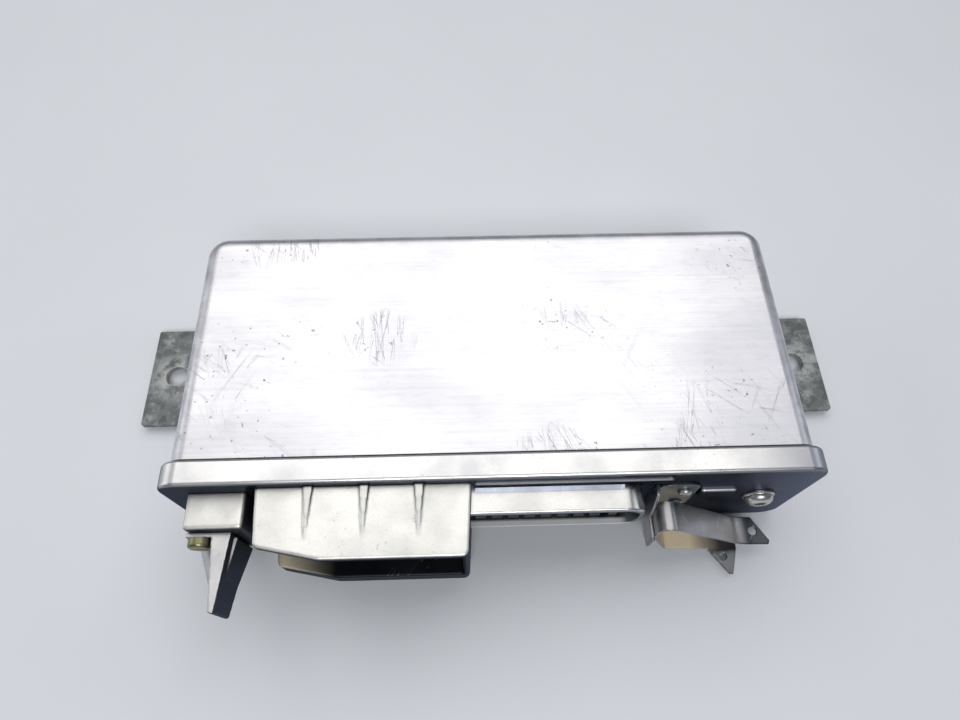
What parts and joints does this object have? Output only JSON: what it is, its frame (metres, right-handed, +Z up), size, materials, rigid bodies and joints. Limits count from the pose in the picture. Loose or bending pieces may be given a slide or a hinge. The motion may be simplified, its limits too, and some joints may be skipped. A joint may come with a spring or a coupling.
{
  "type": "electronic control unit",
  "caption": "Vehicle electronic control unit: drawn aluminium can with cast front plate, long plug connector, hood, plug hook, spring latch and two mounting ears.",
  "frame": {"origin": "centre of the mounting plate's underside, midway between the two ear holes", "axes": "+Z up away from the surface it is mounted on, +X along the width to the right seen from the connector side, -Y the connector side"},
  "size_m": [0.2544, 0.1229, 0.0485],
  "materials": {
    "can_aluminium": "satin, brushed across the width, scratched",
    "plate_casting": "die-cast, smooth",
    "hood_casting": "die-cast, fine grain",
    "galvanised_steel": "galvanised, dull, white bloom",
    "spring_steel": "cold rolled, semi-bright",
    "screw_steel": "bright zinc",
    "yellow_zinc": "yellow passivated zinc",
    "connector_plastic": "moulded",
    "tinned_contacts": "tinned",
    "seal_rubber": "soft matt",
    "board_laminate": "lacquered laminate",
    "chip_plastic": "moulded epoxy",
    "rail_plastic": "natural nylon",
    "capacitor_sleeve": "shrunk sleeve",
    "film_plastic": "dipped",
    "resistor_body": "lacquered"
  },
  "bodies": {
    "unit": {"housing_can": "can_aluminium", "housing_gasket": "seal_rubber", "front_plate": "plate_casting", "mounting_plate": "galvanised_steel", "mounting_plate_rivets": "galvanised_steel", "connector_shroud": "plate_casting", "connector_insulator": "connector_plastic", "contact_blades": "tinned_contacts", "connector_hood": "hood_casting", "hook_block": "hood_casting", "plug_hook": "hood_casting", "hook_screw": "yellow_zinc", "latch_bracket": "spring_steel", "latch_rivets": "screw_steel", "latch_spring": "spring_steel", "plate_screw": "screw_steel", "heat_sink_bar": "plate_casting", "power_transistors": "chip_plastic", "main_board": "board_laminate", "upper_board": "board_laminate", "guide_rails": "rail_plastic", "board_spacers": "screw_steel", "board_screws": "screw_steel", "board_header": "connector_plastic", "microcontroller": "chip_plastic", "logic_chips": "chip_plastic", "driver_chips": "chip_plastic", "electrolytic_capacitors": "capacitor_sleeve", "film_capacitors": "film_plastic", "clock_crystal": "screw_steel", "resistors": "resistor_body", "diodes": "chip_plastic", "foam_pad": "seal_rubber"},
    "latch_arm": {"latch_arm": "spring_steel"}
  },
  "joints": [
    {"name": "latch_flex", "type": "hinge", "parent": "unit", "child": "latch_arm", "pos_m": [0.0498, -0.0645, 0.027], "axis": [0, 1, 0], "range_deg": [0, 7], "stiffness_Nm_per_rad": 3}
  ]
}
